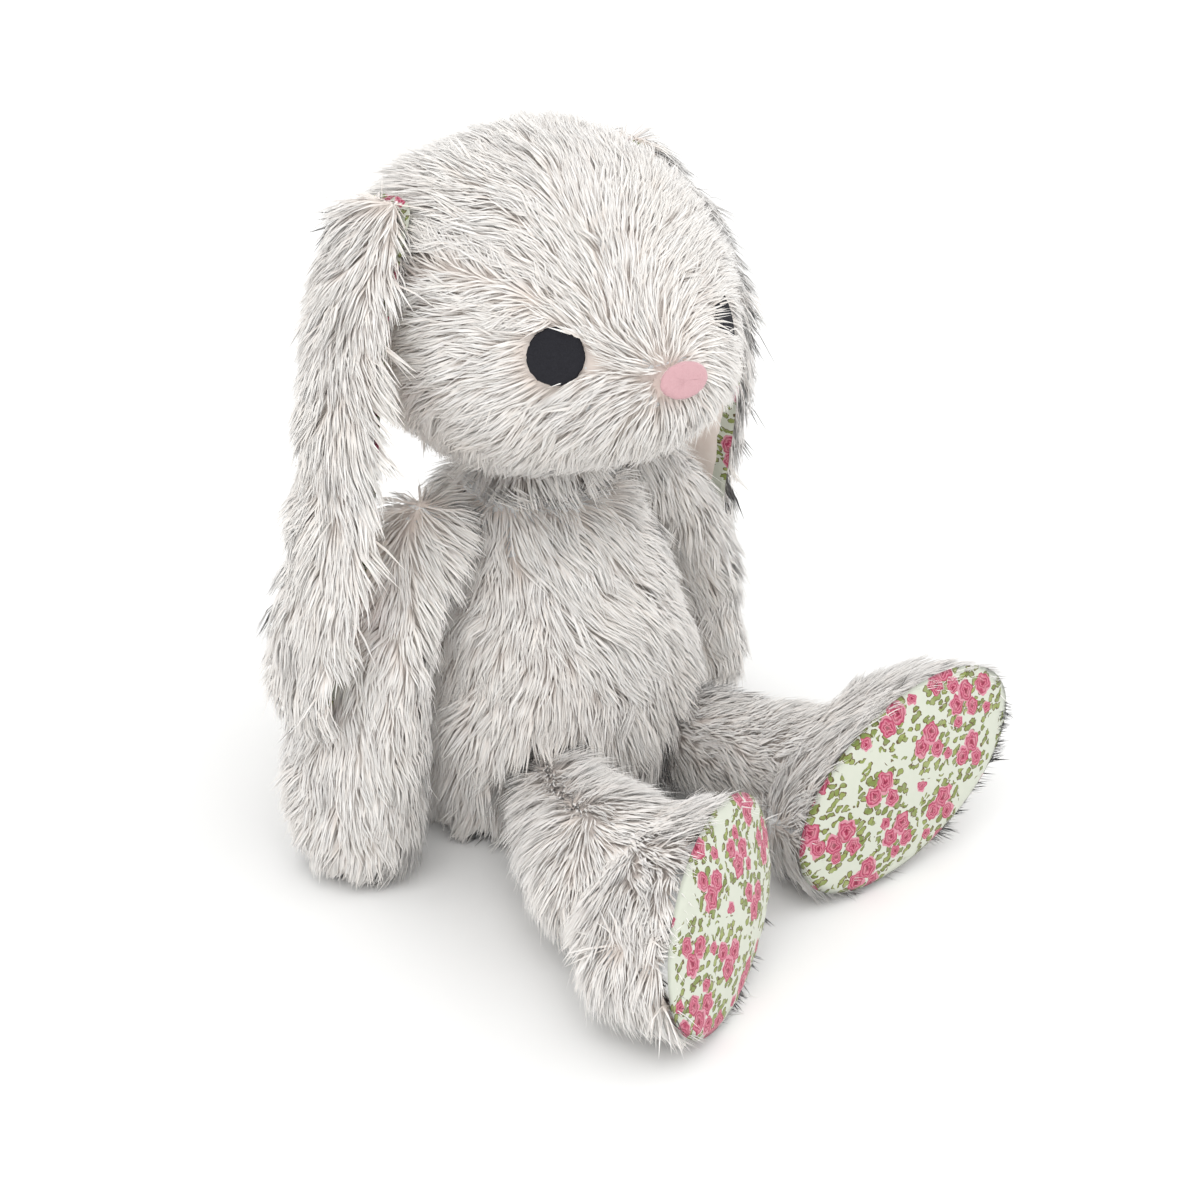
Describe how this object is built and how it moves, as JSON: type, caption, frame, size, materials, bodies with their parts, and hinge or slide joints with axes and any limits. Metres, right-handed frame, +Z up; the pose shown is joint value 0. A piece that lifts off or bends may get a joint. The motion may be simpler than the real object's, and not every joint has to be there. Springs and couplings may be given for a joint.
{
  "type": "stuffed bunny rabbit",
  "caption": "Sitting lop-eared rabbit in long off-white plush, with floral cotton soles and ear linings, felt eyes and a velour nose; head, ears, arms and legs move.",
  "frame": {"origin": "on the surface the rabbit sits on, under the middle of its seat", "axes": "+Z up, -Y the way the torso faces, +X to the rabbit's left"},
  "size_m": [0.2281, 0.2605, 0.251],
  "materials": {
    "plush": "long-pile faux fur",
    "floral_cotton": "printed plain-weave cotton",
    "felt": "matt felt with stitched edge",
    "velour": "short-pile velour",
    "fibre_fill": "loose polyester fibre",
    "pellet_cloth": "plain woven inner bag"
  },
  "bodies": {
    "torso": {"torso_front_panel": "plush", "torso_back_panel": "plush", "torso_stuffing": "fibre_fill", "seat_pellet_bag": "pellet_cloth", "tail_cover": "plush", "tail_stuffing": "fibre_fill"},
    "neck": {"neck_stuffing": "fibre_fill"},
    "head": {"head_gusset": "plush", "head_left_panel": "plush", "head_right_panel": "plush", "head_stuffing": "fibre_fill", "eye_left": "felt", "eye_right": "felt", "nose": "velour"},
    "ear_left": {"ear_left_plush": "plush", "ear_left_lining": "floral_cotton"},
    "ear_right": {"ear_right_plush": "plush", "ear_right_lining": "floral_cotton"},
    "arm_left": {"arm_left_front_panel": "plush", "arm_left_back_panel": "plush", "arm_left_stuffing": "fibre_fill"},
    "arm_right": {"arm_right_front_panel": "plush", "arm_right_back_panel": "plush", "arm_right_stuffing": "fibre_fill"},
    "leg_left": {"leg_left_inner_panel": "plush", "leg_left_outer_panel": "plush", "leg_left_stuffing": "fibre_fill", "sole_left": "floral_cotton"},
    "leg_right": {"leg_right_inner_panel": "plush", "leg_right_outer_panel": "plush", "leg_right_stuffing": "fibre_fill", "sole_right": "floral_cotton"}
  },
  "joints": [
    {"name": "neck_turn", "type": "hinge", "parent": "torso", "child": "neck", "pos_m": [0, -0.006, 0.128], "axis": [0, 0, 1], "range_deg": [-18, 18]},
    {"name": "neck_nod", "type": "hinge", "parent": "neck", "child": "head", "pos_m": [0, -0.006, 0.128], "axis": [0.9848, -0.1736, 0], "range_deg": [-4, 12]},
    {"name": "ear_left_lift", "type": "hinge", "parent": "head", "child": "ear_left", "pos_m": [0.057, 0.008, 0.233], "axis": [0, -1, 0], "range_deg": [0, 60]},
    {"name": "ear_right_lift", "type": "hinge", "parent": "head", "child": "ear_right", "pos_m": [-0.057, 0.009, 0.233], "axis": [0, 1, 0], "range_deg": [0, 60]},
    {"name": "arm_left_swing", "type": "hinge", "parent": "torso", "child": "arm_left", "pos_m": [0.052, -0.003, 0.117], "axis": [-1, 0, 0], "range_deg": [-5, 50]},
    {"name": "arm_right_swing", "type": "hinge", "parent": "torso", "child": "arm_right", "pos_m": [-0.052, -0.003, 0.117], "axis": [-1, 0, 0], "range_deg": [-5, 28]},
    {"name": "leg_left_swing", "type": "hinge", "parent": "torso", "child": "leg_left", "pos_m": [0.035, -0.056, 0.024], "axis": [-1, 0, 0], "range_deg": [-35, 5]},
    {"name": "leg_right_swing", "type": "hinge", "parent": "torso", "child": "leg_right", "pos_m": [-0.037, -0.055, 0.024], "axis": [-1, 0, 0], "range_deg": [-35, 5]}
  ]
}
